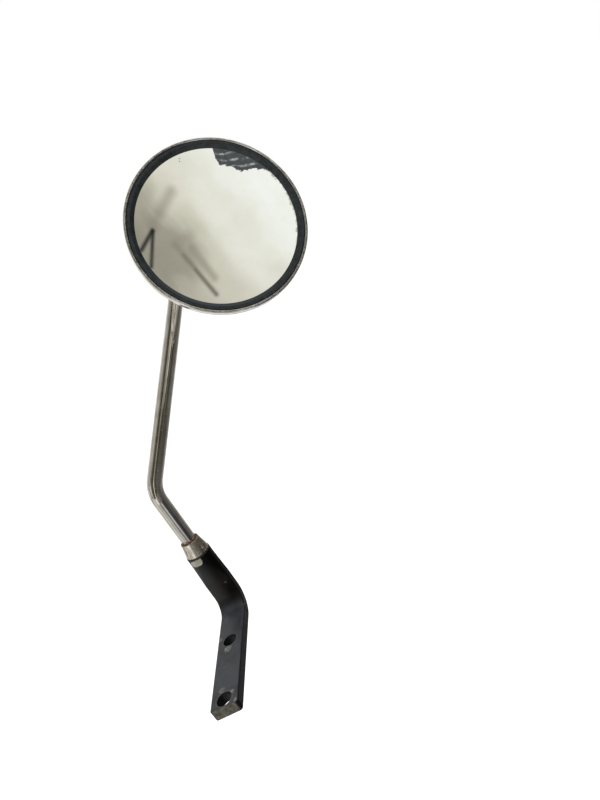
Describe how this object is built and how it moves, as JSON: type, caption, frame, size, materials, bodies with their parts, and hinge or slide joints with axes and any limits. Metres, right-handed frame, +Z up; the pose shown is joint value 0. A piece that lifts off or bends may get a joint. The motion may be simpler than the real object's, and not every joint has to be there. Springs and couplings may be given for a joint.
{
  "type": "bike mirror",
  "caption": "Round chrome-rimmed rear-view mirror on a ball joint, carried by a bent swivelling rod and a black flat steel bracket with bolt holes.",
  "frame": {"origin": "centre of the end bolt hole, on the underside of the bracket's flat leg", "axes": "+Z up along the bolt and the upright, free end of the flat leg towards -Y, rod leans towards +X and +Y, mirror glass faces mostly -Y"},
  "size_m": [0.1599, 0.1631, 0.2484],
  "materials": {
    "black_paint": "black stoved paint, chipped, raw cut end",
    "bright_chrome": "bright chrome plate, aged and finely pitted",
    "zinc_steel": "dull zinc-plated steel",
    "spring_steel": "oiled spring steel",
    "bare_steel": "turned bare steel",
    "red_fibre": "vulcanised fibre",
    "nylon": "natural nylon",
    "black_rubber": "soft black rubber",
    "silvered_glass": "back-silvered flat glass, aged silver",
    "grey_felt": "pressed grey felt"
  },
  "bodies": {
    "bracket": {"bracket_bar": "black_paint", "tab_washer": "zinc_steel", "cone_nut": "bright_chrome", "thrust_washer": "red_fibre", "spring_washer": "spring_steel"},
    "stem": {"rod": "bright_chrome", "rod_collar": "bare_steel", "pivot_ball": "bare_steel"},
    "rear_liner": {"rear_liner": "nylon"},
    "front_liner": {"front_liner": "nylon"},
    "head": {"mirror_shell": "bright_chrome", "bezel_ring": "bright_chrome", "rim_gasket": "black_rubber", "mirror_glass": "silvered_glass", "backing_pad": "grey_felt", "retainer_plate": "spring_steel", "retainer_screws": "zinc_steel", "lock_washers": "zinc_steel", "retainer_nuts": "zinc_steel"}
  },
  "joints": [
    {"name": "stem_swivel", "type": "hinge", "parent": "bracket", "child": "stem", "pos_m": [0, 0.0747, 0.05], "axis": [0, 0, 1], "continuous": true},
    {"name": "head_pan", "type": "hinge", "parent": "stem", "child": "rear_liner", "pos_m": [0.097, 0.1345, 0.1936], "axis": [-0.1178, 0.2857, 0.9511], "range_deg": [-18, 18]},
    {"name": "head_tilt", "type": "hinge", "parent": "rear_liner", "child": "front_liner", "pos_m": [0.097, 0.1345, 0.1936], "axis": [0.9245, 0.3811, 0], "range_deg": [-18, 18]},
    {"name": "head_roll", "type": "hinge", "parent": "front_liner", "child": "head", "pos_m": [0.097, 0.1345, 0.1936], "axis": [0.3624, -0.8793, 0.309], "continuous": true}
  ]
}
